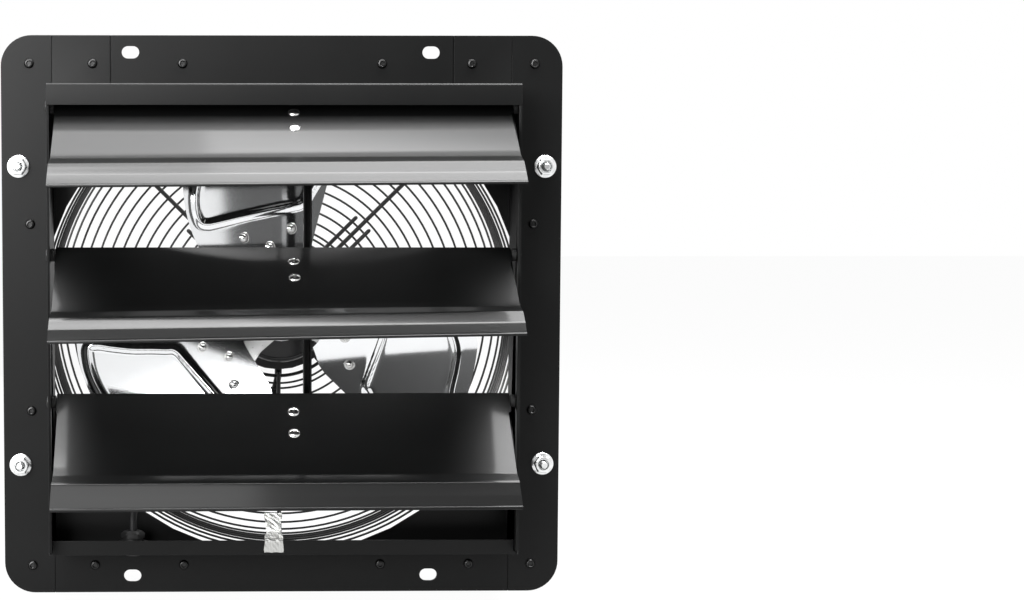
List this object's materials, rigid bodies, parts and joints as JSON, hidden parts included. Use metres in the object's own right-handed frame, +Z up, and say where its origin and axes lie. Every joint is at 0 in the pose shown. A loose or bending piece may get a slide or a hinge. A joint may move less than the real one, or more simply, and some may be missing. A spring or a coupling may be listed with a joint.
{
  "type": "exhaust fan",
  "caption": "Square wall exhaust fan: a shutter box with linked gravity louvers on one side of the flange, a wire guard with a motor and metal fan blades on the other.",
  "frame": {"origin": "centre of the square flange, on its front face, the face that meets the wall", "axes": "+Z up, -Y out through the louvers, +Y along the fan axis towards the motor, +X to the right as seen from the louvers"},
  "size_m": [0.4, 0.2459, 0.4],
  "materials": {
    "black_paint": "satin black powder coat",
    "louver_paint": "smooth semi-gloss black powder coat",
    "wire_paint": "satin black coating on steel wire",
    "motor_paint": "gloss black paint",
    "blade_aluminium": "bright mill finish",
    "bright_steel": "plain zinc-washed steel",
    "zinc": "bright zinc plate",
    "core_steel": "stacked electrical steel",
    "copper": "lacquered copper wire",
    "black_plastic": "matte black plastic",
    "lead_rubber": "black cable sheath",
    "foil": "crinkled foil"
  },
  "bodies": {
    "housing": {"bottom_panel": "black_paint", "cable_boot": "black_plastic", "foil_strip": "foil", "front_bearing": "bright_steel", "front_winding": "copper", "guard_bolt_lower_left": "zinc", "guard_bolt_lower_right": "zinc", "guard_bolt_upper_left": "zinc", "guard_bolt_upper_right": "zinc", "guard_foot_lower_left": "wire_paint", "guard_foot_lower_right": "wire_paint", "guard_foot_upper_left": "wire_paint", "guard_foot_upper_right": "wire_paint", "guard_nut_lower_left": "zinc", "guard_nut_lower_right": "zinc", "guard_nut_upper_left": "zinc", "guard_nut_upper_right": "zinc", "lead_gland": "black_plastic", "left_panel": "black_paint", "motor_front_shell": "motor_paint", "motor_lead": "lead_rubber", "motor_mount_ring": "black_paint", "motor_rear_shell": "motor_paint", "mounting_plate": "black_paint", "pivot_bush_bottom_left": "black_plastic", "pivot_bush_bottom_right": "black_plastic", "pivot_bush_middle_left": "black_plastic", "pivot_bush_middle_right": "black_plastic", "pivot_bush_top_left": "black_plastic", "pivot_bush_top_right": "black_plastic", "pivot_screw_bottom_left": "bright_steel", "pivot_screw_bottom_right": "bright_steel", "pivot_screw_middle_left": "bright_steel", "pivot_screw_middle_right": "bright_steel", "pivot_screw_top_left": "bright_steel", "pivot_screw_top_right": "bright_steel", "rear_bearing": "bright_steel", "rear_winding": "copper", "right_panel": "black_paint", "stator_core": "core_steel", "top_panel": "black_paint", "wire_guard": "wire_paint"},
    "rotor": {"fan_blade_1": "blade_aluminium", "fan_blade_2": "blade_aluminium", "fan_blade_3": "blade_aluminium", "hub_set_screw": "bright_steel", "hub_spider": "bright_steel", "motor_shaft": "bright_steel", "rotor_core": "core_steel"},
    "louver_top": {"louver_bracket_top": "bright_steel", "louver_top": "louver_paint"},
    "louver_middle": {"louver_bracket_middle": "bright_steel", "louver_middle": "louver_paint"},
    "louver_bottom": {"louver_bottom": "louver_paint", "louver_bracket_bottom": "bright_steel"},
    "tie_bar": {"tie_bar": "black_paint", "tie_pin_bottom": "bright_steel", "tie_pin_middle": "bright_steel", "tie_pin_top": "bright_steel"}
  },
  "joints": [
    {"name": "fan_spin", "type": "hinge", "parent": "housing", "child": "rotor", "pos_m": [0, 0.03, 0], "axis": [0, 1, 0], "continuous": true},
    {"name": "louver_top_hinge", "type": "hinge", "parent": "housing", "child": "louver_top", "pos_m": [0, -0.036, 0.1482], "axis": [1, 0, 0], "range_deg": [-20, 45]},
    {"name": "louver_middle_hinge", "type": "hinge", "parent": "housing", "child": "louver_middle", "pos_m": [0, -0.036, 0.0453], "axis": [1, 0, 0], "range_deg": [-20, 45]},
    {"name": "louver_bottom_hinge", "type": "hinge", "parent": "housing", "child": "louver_bottom", "pos_m": [0, -0.036, -0.0576], "axis": [1, 0, 0], "range_deg": [-20, 45]},
    {"name": "tie_bar_hinge", "type": "hinge", "parent": "louver_top", "child": "tie_bar", "pos_m": [0.0174, -0.01909, 0.14204], "axis": [1, 0, 0], "range_deg": [-45, 20]}
  ],
  "couplings": [
    {"joint": "louver_middle_hinge", "follows": "louver_top_hinge", "ratio": 1},
    {"joint": "louver_bottom_hinge", "follows": "louver_top_hinge", "ratio": 1},
    {"joint": "tie_bar_hinge", "follows": "louver_top_hinge", "ratio": -1}
  ]
}
